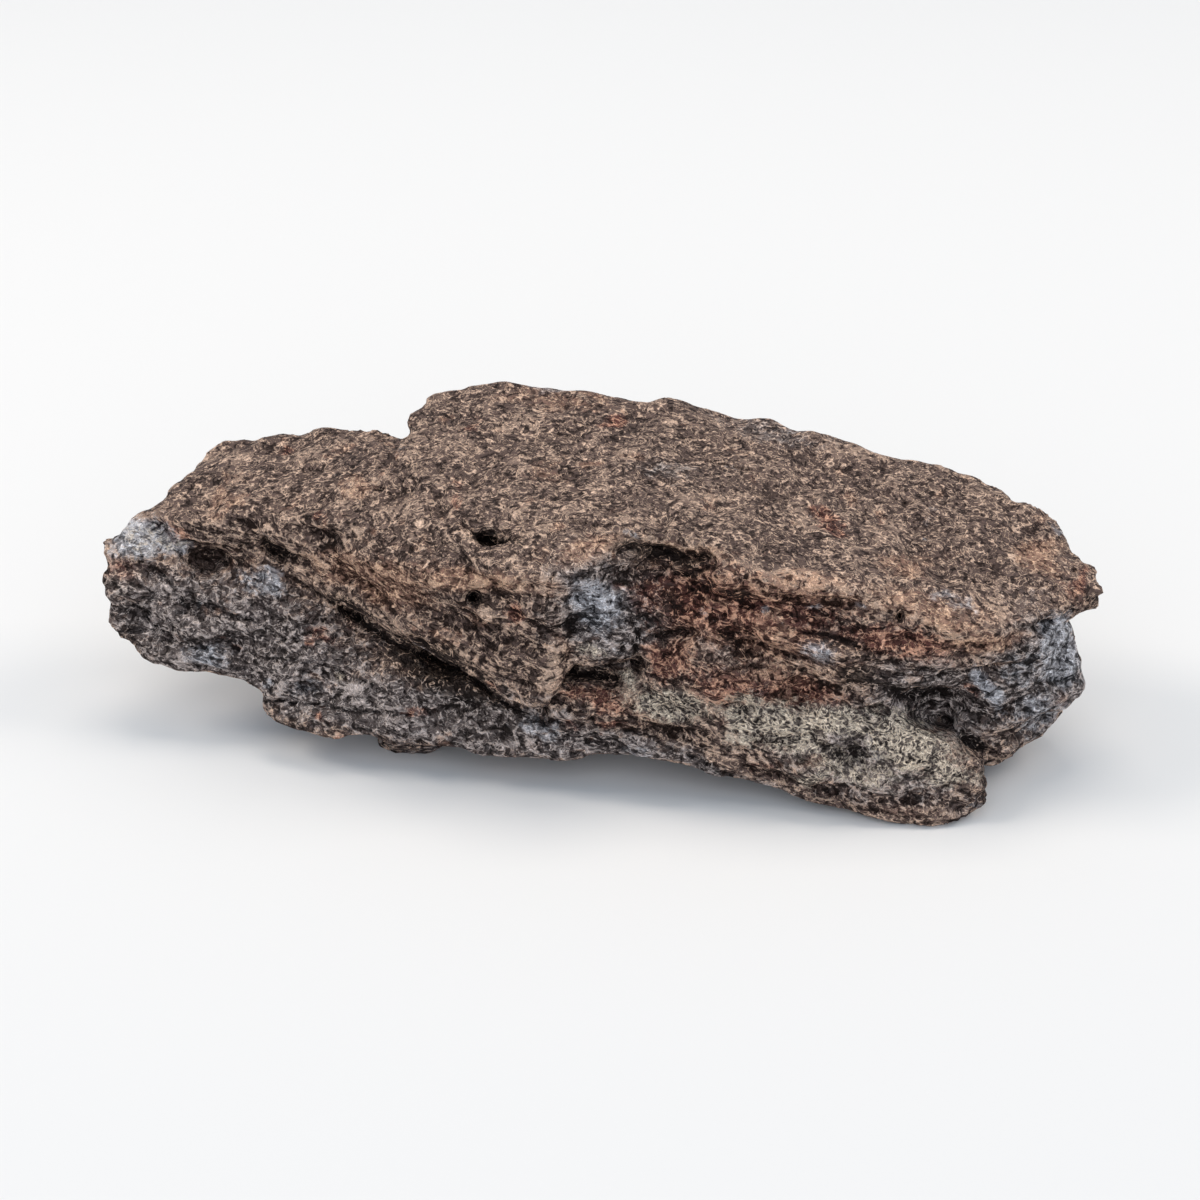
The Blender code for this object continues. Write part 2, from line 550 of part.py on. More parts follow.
def crack_object(name, line, width, depth, tree):
    """A thin wedge along the line, widest in the middle, from outside the surface to its depth."""
    shape = bmesh.new()
    sections = []
    last = len(line) - 1
    for number, (across, up) in enumerate(line):
        before = line[max(number - 1, 0)]
        after = line[min(number + 1, last)]
        run = Vector((after[0] - before[0], 0.0, 0.0)) + (after[1] - before[1]) * UP_THE_DRAWING
        sideways = run.cross(TO_EYE).normalized()
        opening = 0.5 * width * (0.2 + 0.8 * math.sin(math.pi * number / last))
        mouth = on_surface(tree, across, up) + OUTSIDE * TO_EYE
        bottom = mouth - (OUTSIDE + depth) * TO_EYE
        section = (mouth + sideways * opening, mouth - sideways * opening, bottom)
        sections.append([shape.verts.new(corner * METRES) for corner in section])
    shape.faces.new(sections[0])
    shape.faces.new(reversed(sections[-1]))
    for near, far in zip(sections, sections[1:]):
        for one, other in ((0, 1), (1, 2), (2, 0)):
            shape.faces.new((near[one], near[other], far[other], far[one]))
    bmesh.ops.triangulate(shape, faces=shape.faces)
    bmesh.ops.recalc_face_normals(shape, faces=shape.faces)
    return add_object(name, shape)


def hole_object(name, across, up, radius, depth, tree):
    """A round cutter that goes in along the line of sight."""
    mouth = on_surface(tree, across, up)
    turned = TO_EYE.to_track_quat("Z", "Y").to_matrix().to_4x4()
    middle = (mouth + 0.5 * (OUTSIDE - depth) * TO_EYE) * METRES
    shape = bmesh.new()
    bmesh.ops.create_cone(
        shape, cap_ends=True, segments=HOLE_SIDES, radius1=0.6 * radius * METRES,
        radius2=radius * METRES, depth=(OUTSIDE + depth) * METRES,
        matrix=Matrix.Translation(middle) @ turned,
    )
    return add_object(name, shape)


def table_object():
    """The block that stands for the table: what would sink into it is taken off the stone."""
    shape = bmesh.new()
    bmesh.ops.create_cube(shape, size=1.0)
    bmesh.ops.scale(shape, vec=Vector((70.0, 50.0, 5.0)) * METRES, verts=shape.verts)
    bmesh.ops.translate(shape, vec=Vector((0.0, 0.0, -2.5)) * METRES, verts=shape.verts)
    return add_object("table", shape)


def without_crumbs(placed):
    """Takes away what the cuts leave loose, so that only the stone itself stays."""
    shape = bmesh.new()
    shape.from_mesh(placed.data)
    unseen = set(shape.verts)
    bodies = []
    while unseen:
        body = {unseen.pop()}
        edge = set(body)
        while edge:
            edge = {link.other_vert(vert) for vert in edge for link in vert.link_edges} & unseen
            unseen -= edge
            body |= edge
        bodies.append(body)
    bodies.sort(key=len)
    for crumb in bodies[:-1]:
        bmesh.ops.delete(shape, geom=list(crumb), context="VERTS")
    shape.to_mesh(placed.data)
    shape.free()


def add_finish(placed):
    """The stone's own material: dark, weathered, almost without shine."""
    material = bpy.data.materials.new("weathered_chondrite")
    material.use_nodes = True
    shader = material.node_tree.nodes["Principled BSDF"]
    shader.inputs["Base Color"].default_value = COLOUR
    shader.inputs["Roughness"].default_value = ROUGHNESS
    shader.inputs["Metallic"].default_value = 0.0
    placed.data.materials.append(material)


def stand_on_origin(placed):
    """Moves the mesh so that the origin is the bottom centre of its box."""
    places = [vert.co for vert in placed.data.vertices]
    low = Vector([min(place[axis] for place in places) for axis in range(3)])
    high = Vector([max(place[axis] for place in places) for axis in range(3)])
    centre = Vector(((low.x + high.x) / 2.0, (low.y + high.y) / 2.0, low.z))
    placed.data.transform(Matrix.Translation(-centre))


def plate_object(name, block_names, strength):
    """One plate of the rock: its blocks joined, the hollows taken out, and the surface weathered."""
    blocks = [hull_object(block_name, BLOCKS[block_name]) for block_name in block_names]
    for block in blocks[1:]:
        combine(blocks[0], block, "UNION")
    for hollow_name, points in HOLLOWS.items():
        combine(blocks[0], hull_object(hollow_name, points), "DIFFERENCE")
    add_skin(blocks[0])
    plate = baked(blocks[0], name)
    smooth(plate, 1)
    weather(plate, strength)
    return plate


def main():
    clear_scene()
    plates = [plate_object(name, *described) for name, described in PLATES.items()]
    # A weathered skin folds over itself in its narrowest corners, where the exact solver fails.
    for plate in plates[1:]:
        combine(plates[0], plate, "UNION", "MANIFOLD")
    add_skin(plates[0])
    joined = baked(plates[0], "joined")
    fewer = joined.modifiers.new("fewer_faces", "DECIMATE")
    fewer.ratio = TRIANGLES / sum(len(face.vertices) - 2 for face in joined.data.polygons)

    weathered = baked(joined, "weathered")
    graph = bpy.context.evaluated_depsgraph_get()
    tree = BVHTree.FromObject(weathered, graph)
    for name, (line, width, depth) in CRACKS.items():
        combine(weathered, crack_object(name, line, width, depth, tree), "DIFFERENCE")
    for name, measures in HOLES.items():
        combine(weathered, hole_object(name, *measures, tree), "DIFFERENCE")
    combine(weathered, table_object(), "DIFFERENCE")

    stone = baked(weathered, "stone")
    without_crumbs(stone)
    add_finish(stone)
    stand_on_origin(stone)


main()
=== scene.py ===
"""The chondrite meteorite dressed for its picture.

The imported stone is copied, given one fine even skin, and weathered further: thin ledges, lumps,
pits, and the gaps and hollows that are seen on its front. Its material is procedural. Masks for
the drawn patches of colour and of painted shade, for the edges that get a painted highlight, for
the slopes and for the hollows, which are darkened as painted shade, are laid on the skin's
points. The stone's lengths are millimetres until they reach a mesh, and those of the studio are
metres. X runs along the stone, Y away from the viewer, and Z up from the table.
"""

import math

import bpy
import numpy as np
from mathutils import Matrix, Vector, noise


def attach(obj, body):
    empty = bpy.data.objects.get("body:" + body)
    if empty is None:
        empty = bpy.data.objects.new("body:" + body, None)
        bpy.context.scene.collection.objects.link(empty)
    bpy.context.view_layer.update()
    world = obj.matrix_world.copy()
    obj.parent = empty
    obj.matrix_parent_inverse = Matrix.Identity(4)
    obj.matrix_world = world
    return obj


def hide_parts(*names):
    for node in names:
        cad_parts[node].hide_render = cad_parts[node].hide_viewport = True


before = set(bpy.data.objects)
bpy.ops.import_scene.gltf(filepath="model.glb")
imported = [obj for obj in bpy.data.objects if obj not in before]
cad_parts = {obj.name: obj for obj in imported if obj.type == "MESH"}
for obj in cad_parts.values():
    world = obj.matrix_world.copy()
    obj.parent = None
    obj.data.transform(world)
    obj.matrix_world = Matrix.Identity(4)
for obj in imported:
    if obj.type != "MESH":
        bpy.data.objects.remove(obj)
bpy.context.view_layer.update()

METRES = 0.001

# The side that faces the viewer is drawn as it is seen from the front, on a plane through MIDDLE
# that faces the eye. Places on the drawing are counted from its upper left corner.
SIGHT_ELEVATION = math.radians(28.0)
SIGHT_DISTANCE = 150.0
MIDDLE = np.array((0.148, 0.725, 6.3))
TO_EYE = np.array((0.0, -math.cos(SIGHT_ELEVATION), math.sin(SIGHT_ELEVATION)))
UP_THE_DRAWING = np.array((0.0, math.sin(SIGHT_ELEVATION), math.cos(SIGHT_ELEVATION)))
DRAWING_CENTRE = 600.0
STEPS_PER_MM = 20.0

# The drawing fades out where the skin turns away from the viewer.
FACING_GAIN = 3.0

# The camera, with its clipping in metres.
LENS = 90.0
SENSOR = 36.0
CLIP_START = 0.005
CLIP_END = 5.0

# The layers of the rock dip to the right and towards the viewer.
LAYER_DIP = (math.radians(6.8), math.radians(9.6), 0.0)
ACROSS_LAYERS = np.array((0.17, -0.12, 1.0)) / np.linalg.norm((0.17, -0.12, 1.0))

# The skin: the size of its faces, and how it is smoothed before it is weathered.
SKIN_SIZE = 0.192
SMOOTH_ROUNDS = 6
SMOOTH_IN = 0.5
SMOOTH_OUT = -0.52

# The thin ledges: their thickness, the size of their patches, their height and how far they lie
# back. They waver across the layers, and each rises from the last over a share of its thickness.
LEDGE_THICKNESS = 0.5
LEDGE_PATCH = 1.9
LEDGE_HEIGHT = 0.62
LEDGE_BACK = 0.05
LEDGE_WAVER = 0.5
LEDGE_WAVER_RATE = 0.35
RISE_START = 0.4
RISE_SHARE = 0.35
TO_NEXT_PATTERN = Vector((2.3, 5.7, 1.1))

# The lumps and the grain on them.
LUMP_HEIGHT = 0.28
LUMP_SIZE = 1.3
GRAIN_HEIGHT = 0.1
GRAIN_SIZE = 0.5
GRAIN_FALL = 1.0
GRAIN_STEP = 2.0
GRAIN_OCTAVES = 2

# The small pits: their depth, how far apart they are, and their radius with its smallest share
# and its variety. Each has a chance of its own, and those below the rarity are left out.
PIT_DEPTH = 0.35
PIT_SPACING = 1.5
PIT_RADIUS = 0.24
PIT_SMALLEST = 0.4
PIT_VARIETY = 0.9
PIT_CHANCE_RATE = 7.3
PIT_RARITY = 0.45

# No relief stands out further than this.
PROUDEST = 0.12

# Faces along the layers carry this share of the relief that the faces across them have.
TOP_ROUGHNESS = 0.25

# Rounds of averaging with the neighbours that find fine hollows, and then wide ones, which the
# material darkens as painted shade.
NEAR_ROUNDS = 2
WIDE_ROUNDS = 14

# How far the edges of what is drawn wander, over short and long stretches. Lines and pits take
# only a share of it.
SHORT_WANDER = 0.16
SHORT_STRETCH = 0.45
LONG_WANDER = 0.45
LONG_STRETCH = 1.8
LINE_WANDER = 0.35
WANDER_SEED = 1

# Gaps between the layers: their course on the drawing, half their width and their depth.
GAPS = {
    "cave_left": ([(462, 522), (474, 534), (488, 541), (503, 546), (519, 537)], 0.14, 0.4),
    "tongue_slit": ([(262, 535), (268, 549), (282, 563)], 0.14, 0.6),
    "under_rim_a": ([(296, 578), (326, 598), (350, 615), (374, 630), (398, 646)], 0.12, 0.4),
    "under_rim_b": ([(398, 646), (430, 656), (455, 668), (486, 690), (508, 705)], 0.16, 0.5),
    "under_rim_c": ([(508, 705), (526, 714), (547, 724)], 0.1, 0.3),
    "crest_gap_a": ([(618, 552), (634, 546), (650, 545), (664, 550), (684, 552), (707, 556)],
                    0.2, 0.5),
    "crest_gap_b": ([(676, 571), (690, 570), (706, 568)], 0.14, 0.4),
    "recess_crack": ([(635, 622), (638, 634), (635, 648), (638, 662)], 0.12, 0.4),
    "recess_fold": ([(642, 641), (652, 635), (664, 632)], 0.12, 0.3),
    "rust_lip": ([(662, 634), (680, 630), (698, 636)], 0.15, 0.35),
    "slope_slit": ([(572, 672), (588, 673), (602, 676), (617, 681)], 0.16, 0.4),
    "ledge_line_a": ([(552, 720), (579, 723), (621, 729), (650, 732), (666, 746)], 0.1, 0.3),
    "ledge_line_b": ([(666, 746), (698, 760), (730, 772), (762, 783)], 0.1, 0.3),
    "crest_dash_a": ([(705, 461), (728, 464), (753, 469)], 0.08, 0.25),
    "crest_dash_b": ([(622, 455), (640, 457)], 0.07, 0.2),
    "crest_dash_c": ([(575, 523), (596, 527), (612, 524)], 0.07, 0.2),
    "wall_line_a": ([(762, 590), (776, 593), (790, 598)], 0.1, 0.3),
    "wall_line_b": ([(716, 598), (734, 603), (752, 608)], 0.09, 0.3),
    "wall_line_c": ([(800, 632), (828, 637), (862, 648), (884, 652)], 0.11, 0.35),
    "wall_line_d": ([(716, 633), (744, 642), (770, 646), (792, 657)], 0.09, 0.3),
    "wall_line_e": ([(728, 669), (752, 664), (780, 671), (806, 669)], 0.09, 0.3),
    "recess_left": ([(898, 694), (914, 689), (940, 690), (963, 693)], 0.26, 0.4),
    "pocket": ([(963, 738), (976, 744), (987, 752)], 0.22, 0.4),
    "bulge_line": ([(1012, 716), (1032, 706), (1056, 702)], 0.08, 0.2),
    "tip_seam": ([(1066, 616), (1050, 630), (1030, 640)], 0.13, 0.35),
    "left_line_a": ([(150, 566), (170, 581), (184, 600), (202, 622)], 0.1, 0.3),
    "left_line_b": ([(126, 600), (150, 622), (178, 640), (208, 650)], 0.1, 0.3),
    "left_line_c": ([(228, 612), (252, 620), (276, 634), (300, 640)], 0.08, 0.25),
    "left_line_d": ([(246, 655), (280, 660), (330, 668), (372, 684)], 0.08, 0.25),
    "left_line_e": ([(262, 700), (310, 705), (360, 712), (408, 716)], 0.09, 0.3),
}

# Pits: their place on the drawing, half their width and height, and their depth.
PITS = {
    "slab_hole": (382, 489, 0.17, 0.1, 0.3),
    "slab_dot": (330, 470, 0.1, 0.07, 0.2),
    "plate_hole_a": (906, 504, 0.2, 0.14, 0.35),
    "plate_hole_b": (1075, 570, 0.14, 0.12, 0.3),
    "plate_dot_a": (560, 436, 0.14, 0.08, 0.2),
    "plate_dot_b": (812, 497, 0.14, 0.08, 0.2),
    "tongue_hole": (472, 597, 0.36, 0.36, 0.9),
    "tongue_spot": (514, 615, 0.3, 0.2, 0.25),
    "tongue_corner": (330, 622, 0.25, 0.15, 0.25),
    "tip_hollow": (210, 563, 0.9, 0.7, 0.35),
    "tip_pit_a": (136, 632, 0.45, 0.22, 0.35),
    "tip_pit_b": (234, 651, 0.2, 0.2, 0.3),
    "tip_pit_c": (181, 612, 0.4, 0.16, 0.3),
    "wall_hole_a": (900, 617, 0.35, 0.22, 0.4),
    "wall_hole_b": (902, 659, 0.2, 0.2, 0.3),
    "crest_notch": (790, 579, 0.16, 0.12, 0.25),
    "recess_hollow": (901, 694, 0.35, 0.25, 0.4),
    "slope_hole": (593, 720, 0.2, 0.14, 0.35),
    "ledge_dot": (872, 747, 0.16, 0.14, 0.2),
    "bulge_dot": (1064, 676, 0.14, 0.14, 0.2),
}

# Edges painted paler as highlights: their course on the drawing and half their width.
HIGHLIGHTED_EDGES = {
    "left_tip": ([(106, 552), (108, 534), (124, 524), (146, 530), (166, 545)], 0.7),
    "tongue_rim": ([(282, 557), (303, 571), (350, 602), (398, 632), (430, 641), (453, 654),
                    (487, 675), (506, 690), (526, 700), (548, 712)], 0.15),
    "tongue_ridge": ([(313, 557), (360, 568), (400, 576), (451, 583), (500, 587), (540, 589),
                      (566, 587)], 0.22),
    "tongue_corner": ([(571, 589), (564, 609), (556, 632), (554, 662), (545, 690)], 0.22),
    "plate_edge": ([(715, 558), (760, 569), (800, 576), (853, 591), (896, 611), (929, 623),
                    (960, 637), (1006, 641), (1045, 628)], 0.14),
    "ledge_rim": ([(569, 720), (621, 727), (650, 731), (665, 744), (698, 758), (730, 771),
                   (790, 785), (838, 797)], 0.12),
    "slab_edge": ([(112, 527), (160, 532), (200, 535), (262, 535), (313, 557)], 0.2),
}

# Patches of colour: their middle on the drawing, half their width and height there, the turn of
# their long axis in degrees, and their strength.
PATCHES = {
    # bare dark grey rock with little brown in it
    "grey": [
        (230, 640, 150, 60, -18, 0.9),
        (420, 715, 190, 34, -10, 0.9),
        (605, 610, 48, 60, 50, 1.0),
        (660, 590, 60, 22, -10, 0.7),
        (720, 640, 46, 26, -25, 0.6),
        (1050, 680, 60, 70, 10, 0.9),
        (940, 700, 80, 40, -10, 0.8),
        (850, 745, 130, 50, -20, 0.7),
        (600, 745, 90, 16, -5, 0.9),
        (730, 782, 90, 14, -22, 0.8),
        (770, 430, 60, 16, -15, 0.5),
        (660, 470, 50, 14, -10, 0.4),
    ],
    # the blue-grey shine of the patina
    "patina": [
        (142, 540, 38, 22, 5, 1.0),
        (175, 545, 20, 12, 0, 0.7),
        (262, 582, 26, 16, -30, 0.8),
        (205, 654, 26, 15, -20, 0.8),
        (308, 690, 32, 12, -10, 0.5),
        (215, 478, 26, 14, 30, 0.3),
        (598, 602, 26, 36, 60, 1.0),
        (612, 645, 20, 20, 0, 0.4),
        (540, 728, 26, 14, -15, 0.7),
        (712, 618, 26, 12, -30, 0.4),
        (821, 652, 24, 16, -10, 0.7),
        (790, 625, 30, 12, -10, 0.4),
        (990, 690, 11, 32, 32, 1.0),
        (1062, 655, 24, 42, 0, 1.0),
        (1040, 712, 34, 24, 20, 0.7),
        (1026, 668, 26, 26, 0, 0.65),
        (868, 740, 14, 24, 20, 0.6),
        (762, 700, 12, 26, 15, 0.5),
    ],
    "rust": [
        (672, 660, 36, 27, -15, 0.8),
        (124, 569, 24, 14, 0, 0.6),
        (455, 496, 10, 24, -15, 0.5),
        (514, 615, 14, 10, 0, 0.8),
        (598, 698, 40, 16, -15, 0.8),
        (795, 596, 40, 14, -10, 0.7),
        (845, 631, 40, 14, -12, 0.6),
        (800, 692, 36, 18, -5, 0.9),
        (745, 655, 30, 20, -10, 0.4),
        (440, 640, 60, 20, -30, 0.4),
        (740, 610, 120, 44, -12, 0.9),
        (760, 690, 90, 26, -8, 0.8),
        (900, 640, 70, 20, -12, 0.8),
    ],
    "ochre": [
        (375, 580, 64, 20, -20, 1.0),
        (470, 580, 80, 12, -6, 0.8),
        (562, 640, 10, 30, 10, 0.5),
        (555, 590, 26, 12, 0, 0.6),
        (984, 640, 44, 10, 5, 0.8),
        (950, 622, 30, 9, -12, 0.8),
        (820, 580, 60, 8, -10, 0.5),
        (690, 548, 50, 9, -10, 0.7),
        (590, 550, 34, 12, 20, 0.7),
        (1040, 557, 24, 18, -30, 0.9),
        (908, 565, 26, 12, -10, 0.7),
        (1075, 600, 26, 12, -20, 0.5),
        (790, 590, 140, 16, -10, 0.55),
        (930, 606, 90, 18, -8, 0.6),
        (760, 655, 110, 40, -12, 0.5),
        (755, 676, 16, 8, 0, 0.8),
        (815, 672, 10, 6, 0, 0.6),
        (640, 705, 34, 12, -35, 0.7),
        (765, 735, 16, 8, 0, 0.8),
        (900, 738, 14, 7, -30, 0.8),
        (900, 812, 60, 12, -5, 0.4),
        (240, 478, 18, 12, 0, 0.4),
        (550, 400, 70, 14, -5, 0.5),
        (545, 470, 20, 10, 0, 0.5),
    ],
    # pale yellowish grains and strokes
    "crust": [
        (590, 652, 20, 9, 0, 0.7),
        (628, 678, 9, 12, 0, 0.8),
        (665, 705, 50, 18, -15, 0.8),
        (770, 725, 60, 26, -15, 0.9),
        (840, 722, 50, 16, -12, 0.95),
        (905, 742, 60, 28, -20, 0.9),
        (850, 765, 70, 20, -15, 0.6),
        (811, 779, 12, 9, 0, 1.0),
        (340, 680, 7, 6, 0, 0.8),
        (950, 775, 34, 18, -10, 0.7),
        (150, 540, 44, 24, 5, 0.45),
        (122, 590, 24, 30, 5, 0.35),
    ],
    # deep places that the light doesn't reach
    "shade": [
        (494, 539, 24, 6, -10, 0.9),
        (440, 672, 62, 20, -30, 0.95),
        (352, 616, 42, 10, -34, 0.7),
        (662, 551, 46, 10, -4, 1.0),
        (640, 570, 26, 14, -20, 0.5),
        (690, 569, 18, 5, 0, 0.8),
        (637, 644, 5, 22, 0, 0.7),
        (596, 675, 26, 6, -8, 0.8),
        (912, 691, 30, 9, -3, 0.9),
        (945, 694, 26, 8, -3, 0.5),
        (972, 742, 18, 9, -30, 0.8),
        (212, 562, 22, 18, 0, 0.3),
        (896, 617, 14, 8, 0, 0.5),
        (430, 690, 60, 8, -20, 0.3),
        (472, 597, 7, 7, 0, 1.0),
        (272, 549, 18, 6, -54, 1.0),
        (500, 702, 40, 6, -35, 0.7),
        (720, 592, 44, 7, -12, 0.7),
        (668, 600, 16, 14, -30, 0.6),
        (735, 640, 26, 7, -50, 0.6),
        (830, 642, 46, 6, -14, 0.6),
        (862, 676, 26, 10, -20, 0.7),
        (800, 616, 30, 5, -10, 0.55),
    ],
}

# How a patch of colour fades from its middle outwards.
PATCH_FADE = 0.7
PATCH_FADE_POWER = 2.5

# The minerals of the surface, each laid over the ones before it: the colours of their gaps, of
# their grain and of their raised strokes, and the tones at which these colours are reached.
MINERALS = {
    "brown": ((0.022, 0.012, 0.009), (0.134, 0.088, 0.075), (0.88, 0.61, 0.46)),
    "grey": ((0.016, 0.011, 0.010), (0.122, 0.096, 0.090), (0.76, 0.63, 0.58)),
    "rust": ((0.018, 0.005, 0.003), (0.122, 0.046, 0.037), (0.94, 0.50, 0.34)),
    "ochre": ((0.036, 0.016, 0.010), (0.29, 0.160, 0.117), (1.0, 0.64, 0.44)),
    "patina": ((0.028, 0.027, 0.030), (0.29, 0.275, 0.290), (0.96, 0.93, 0.97)),
    "crust": ((0.018, 0.013, 0.011), (0.20, 0.160, 0.138), (1.0, 0.82, 0.64)),
}
TONE_STOPS = (0.04, 0.46, 0.92)
# The colour of the painted shade, and the most of the stone's colour that it covers.
GLOOM = (0.010, 0.006, 0.005, 1.0)
GLOOM_SHARE = 0.85

# Soft noises: their size along the layers and across them, their detail, their roughness, their
# distortion and their start.
GRAINS = {
    "cloud": (2.6, 1.6, 2.0, 0.55, 0.6, 33.0),
    "medium": (1.1, 0.7, 3.0, 0.6, 0.5, 2.0),
    "fine": (0.34, 0.24, 1.0, 0.6, 0.8, 3.0),
    "segments": (0.42, 0.36, 1.0, 0.5, 0.3, 7.0),
    "specks": (0.6, 0.34, 1.0, 0.5, 0.4, 30.0),
}

# Strokes: their size along the layers and across them, how thin they are, their distortion and
# their start.
STROKES = {
    "light_strokes": (0.85, 0.6, 0.06, 2.2, 4.0),
    "small_strokes": (0.5, 0.36, 0.06, 1.8, 6.0),
    "dark_strokes": (0.9, 0.6, 0.09, 1.8, 9.0),
    "light_streaks": (2.0, 0.6, 0.07, 1.2, 23.0),
    "dark_streaks": (2.2, 0.7, 0.08, 1.2, 26.0),
    "crust_strokes": (0.6, 0.5, 0.12, 2.2, 20.0),
}
STROKE_DETAIL = 1.0
STROKE_ROUGHNESS = 0.5
NOISE_MIDDLE = 0.5

# The values between which each of these rises from 0 to 1, or falls if the first is the larger.
STEPS = {
    "segments": (0.42, 0.56),
    "specks": (0.36, 0.3),
    "broken": (0.92, 0.55),
    # the depth masks that darken the hollows as painted shade
    "hollow_shade": (-0.05, 0.05),
    "wide_hollow_shade": (0.0, 0.22),
    "far_side": (0.3, 0.9),
}

# What the tone is made of: the weight of each part, and how much the whole is lowered.
TONE_WEIGHTS = {
    "cloud": 0.6,
    "medium": 0.35,
    "fine": 0.25,
    "light_strokes": 0.58,
    "small_strokes": 0.32,
    "dark_strokes": -0.34,
    "light_streaks": 0.4,
    "dark_streaks": -0.3,
    # painted shade: the fine and wide hollows are darkened
    "hollow_shade": -0.16,
    "wide_hollow_shade": -0.2,
    # painted highlight: the listed edges are made paler
    "edge_highlight": 0.14,
    "specks": -0.22,
}
TONE_LOWERED = 0.075

# The crust's tone is a share of that tone, with strokes of its own.
CRUST_TONE_SHARE = 0.7
CRUST_STROKE_SHARE = 0.6

# Patches strewn all over the stone: their soft noise, the values between which it turns into the
# mineral, and their strength. Those of grey lie only on the sides that aren't drawn.
LOOSE_PATCHES = {
    "grey": ((5.0, 3.0, 2.0, 0.5, 0.0, 1.0), (0.45, 0.6), 0.7),
    "rust": ((4.0, 2.0, 2.0, 0.6, 0.5, 15.0), (0.56, 0.72), 0.7),
    "ochre": ((3.0, 1.6, 2.0, 0.6, 0.5, 18.0), (0.54, 0.7), 0.6),
    "patina": ((3.2, 2.2, 2.0, 0.6, 0.5, 12.0), (0.58, 0.72), 0.6),
}

# How strong a patch is where its ragged edge begins, and where it covers all.
EDGES = {
    "grey": (0.2, 0.7),
    "rust": (0.3, 0.8),
    "ochre": (0.2, 0.85),
    "patina": (0.35, 0.9),
    "crust": (0.3, 0.8),
    "shade": (0.2, 0.7),
}

# How strongly a mix of noises breaks up these edges, and what pale strokes take from the shade.
RAGGEDNESS = 1.5
EDGE_MIX = {"medium": 0.5, "fine": 0.5}
SHADE_UNDER_STROKES = -0.5

# The shine of the surface, and how much the patina and the strokes take from its roughness.
ROUGHNESS = 0.62
PATINA_SHINE = -0.25
STROKE_SHINE = -0.1
GLOSS = 0.12

# The height of the bumps in metres, and what they are made of.
BUMP_DISTANCE = 0.0007
BUMP_WEIGHTS = {
    "medium": 0.5,
    "fine": 0.5,
    "light_strokes": 0.16,
    "small_strokes": 0.1,
    "dark_strokes": -0.16,
    "light_streaks": 0.14,
    "dark_streaks": -0.2,
}

# The floor and the sky.
FLOOR_HALF = 2.0
FLOOR_COLOUR = (0.83, 0.815, 0.81, 1)
FLOOR_ROUGHNESS = 0.9
FLOOR_GLOSS = 0.1
SKY_COLOUR = (0.66, 0.83, 1.0, 1)
SKY_STRENGTH = 0.50

# The soft lights: their place, size, power and colour, and the place they are turned to.
WARM = (1.0, 0.91, 0.80)
COOL = (0.96, 0.97, 1.0)
LIGHTS = {
    "left_window": ((-0.26, 0.04, 0.24), 0.12, 0.42, WARM),
    "right_window": ((0.26, 0.06, 0.24), 0.14, 0.33, WARM),
    "above": ((0.0, 0.12, 0.32), 0.16, 0.38, WARM),
    "room": ((0.0, -0.40, 0.20), 0.50, 0.94, COOL),
}
LIT_PLACE = Vector((0.0, 0.0, 0.006))


def to_drawing(points):
    """Where points of the stone are on the drawing."""
    from_middle = points - MIDDLE
    spread = 1.0 - from_middle @ TO_EYE / SIGHT_DISTANCE
    across = from_middle[:, 0] / spread
    up = from_middle @ UP_THE_DRAWING / spread
    places = np.stack((across, -up), axis=1) * STEPS_PER_MM
    return places + DRAWING_CENTRE


def wander(points):
    """How far the drawing is pulled about at each point, which gives what is drawn ragged edges."""
    # The vector noise differs from run to run unless it is seeded.
    noise.seed_set(WANDER_SEED)
    moves = np.empty((len(points), 2))
    for number, place in enumerate(points):
        point = Vector(place)
        move = SHORT_WANDER * noise.noise_vector(point / SHORT_STRETCH)
        move += LONG_WANDER * noise.noise_vector(point / LONG_STRETCH)
        moves[number] = move.x, move.z
    return moves * STEPS_PER_MM


def oval_distance(places, x, y, half_width, half_height, turn):
    """How far each place is from an oval's middle, as a share of the oval's size."""
    turn = math.radians(turn)
    right = places[:, 0] - x
    up = y - places[:, 1]
    along = (right * math.cos(turn) + up * math.sin(turn)) / half_width
    over = (up * math.cos(turn) - right * math.sin(turn)) / half_height
    return np.hypot(along, over)


def line_distance(places, line):
    """How far each place is from a line of points, in millimetres."""
    nearest = np.full(len(places), np.inf)
    for start, end in zip(line, line[1:]):
        start = np.array(start, dtype=float)
        run = np.array(end, dtype=float) - start
        share = np.clip((places - start) @ run / (run @ run), 0.0, 1.0)
        away = places - start - share[:, None] * run
        nearest = np.minimum(nearest, np.hypot(away[:, 0], away[:, 1]))
    return nearest / STEPS_PER_MM


def patch_mask(places, patches):
    """How strongly a set of soft patches covers each place, from 0 to 1."""
    mask = np.zeros(len(places))
    for x, y, half_width, half_height, turn, strength in patches:
        away = oval_distance(places, x, y, half_width, half_height, turn)
        mask = np.maximum(mask, strength * np.exp(-PATCH_FADE * away**PATCH_FADE_POWER))
    return mask


def edge_highlight_mask(places):
    """How strongly the painted highlight lies on each place, from 0 to 1 along the highlighted
    edges.
    """
    mask = np.zeros(len(places))
    for line, half_width in HIGHLIGHTED_EDGES.values():
        mask = np.maximum(mask, np.exp(-(line_distance(places, line) / half_width)**2))
    return mask


def placed_object(name, data):
    """A new object in the scene, made of a mesh, a light or a camera."""
    placed = bpy.data.objects.new(name, data)
    bpy.context.scene.collection.objects.link(placed)
    return placed


